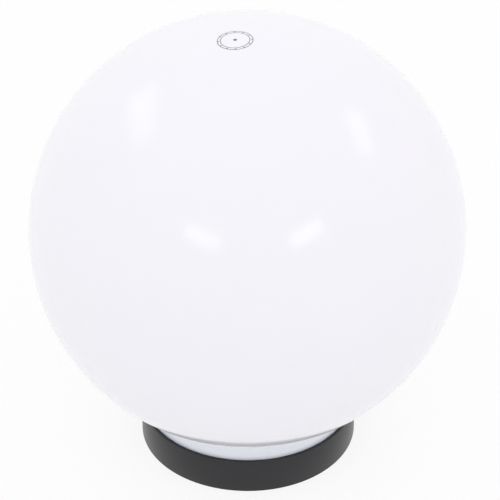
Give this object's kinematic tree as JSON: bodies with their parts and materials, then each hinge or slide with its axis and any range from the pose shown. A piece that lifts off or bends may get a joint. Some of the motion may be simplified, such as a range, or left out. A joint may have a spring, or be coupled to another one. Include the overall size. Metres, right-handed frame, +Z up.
{
  "type": "garden globe light",
  "caption": "Opal globe on a shallow round black base for a post or a low wall, with a screw-in bulb inside. The globe turns to unlock and lifts off.",
  "frame": {"origin": "centre of the base's resting face, on the globe's axis", "axes": "+Z up along the globe's axis, front at -Y, +X to the right seen from the front"},
  "size_m": [0.2999, 0.3, 0.3188],
  "materials": {
    "opal": "glossy opal plastic",
    "black_plastic": "satin moulded black",
    "silicone": "matt translucent silicone",
    "foam": "closed-cell foam",
    "grommet_rubber": "matt black rubber",
    "zinc": "bright zinc plating",
    "porcelain": "glazed porcelain",
    "nickel_brass": "bright brass",
    "copper": "bare copper",
    "bronze": "sprung bronze",
    "white_nylon": "satin moulded white",
    "brown_sleeve": "satin insulation",
    "blue_sleeve": "satin insulation",
    "earth_sleeve": "satin insulation, green with a yellow stripe",
    "bulb_white": "smooth white plastic",
    "bulb_frost": "frosted white plastic",
    "cap_metal": "bright nickel plate",
    "black_glass": "glossy black insulator",
    "board_metal": "white-lacquered aluminium board",
    "phosphor": "yellow phosphor",
    "board_green": "green circuit board",
    "component": "dark moulded components"
  },
  "bodies": {
    "base": {"base_cup": "black_plastic", "base_seal": "foam", "cable_grommet": "grommet_rubber", "lampholder_bracket": "zinc", "bracket_screws": "zinc", "lampholder_body": "porcelain", "lampholder_shell": "nickel_brass", "shell_rivets": "nickel_brass", "centre_contact": "bronze", "centre_contact_rivet": "nickel_brass", "lampholder_terminals": "nickel_brass", "terminal_clamp_screws": "zinc", "lampholder_screws": "zinc", "lampholder_nuts": "zinc", "terminal_block": "white_nylon", "terminal_sleeves": "nickel_brass", "terminal_screws": "zinc", "terminal_block_screws": "zinc", "live_lead": "brown_sleeve", "neutral_lead": "blue_sleeve", "earth_lead": "earth_sleeve", "bare_conductors": "copper", "earth_screw": "zinc", "earth_washer": "zinc", "earth_ring": "nickel_brass"},
    "globe_seat": {"globe_gasket": "silicone"},
    "globe": {"globe": "opal"},
    "bulb_tip": {"bulb_contact": "cap_metal"},
    "bulb": {"bulb_dome": "bulb_frost", "bulb_housing": "bulb_white", "bulb_cap": "cap_metal", "bulb_cap_insulator": "black_glass", "led_board": "board_metal", "led_chips": "phosphor", "driver_board": "board_green", "driver_parts": "component"}
  },
  "joints": [
    {"name": "globe_turn", "type": "hinge", "parent": "base", "child": "globe_seat", "pos_m": [0, 0, 0.012], "axis": [0, 0, 1], "range_deg": [-40, 0]},
    {"name": "globe_lift", "type": "slide", "parent": "globe_seat", "child": "globe", "axis": [0, 0, 1], "range_m": [0, 0.15]},
    {"name": "bulb_lift", "type": "slide", "parent": "base", "child": "bulb_tip", "axis": [0, 0, 1], "range_m": [0, 0.0145]},
    {"name": "bulb_turn", "type": "hinge", "parent": "bulb_tip", "child": "bulb", "pos_m": [0, 0, 0.055], "axis": [0, 0, 1], "range_deg": [0, 1440]}
  ],
  "couplings": [
    {"joint": "bulb_turn", "follows": "bulb_lift", "rad_per_m": 1731.4}
  ]
}
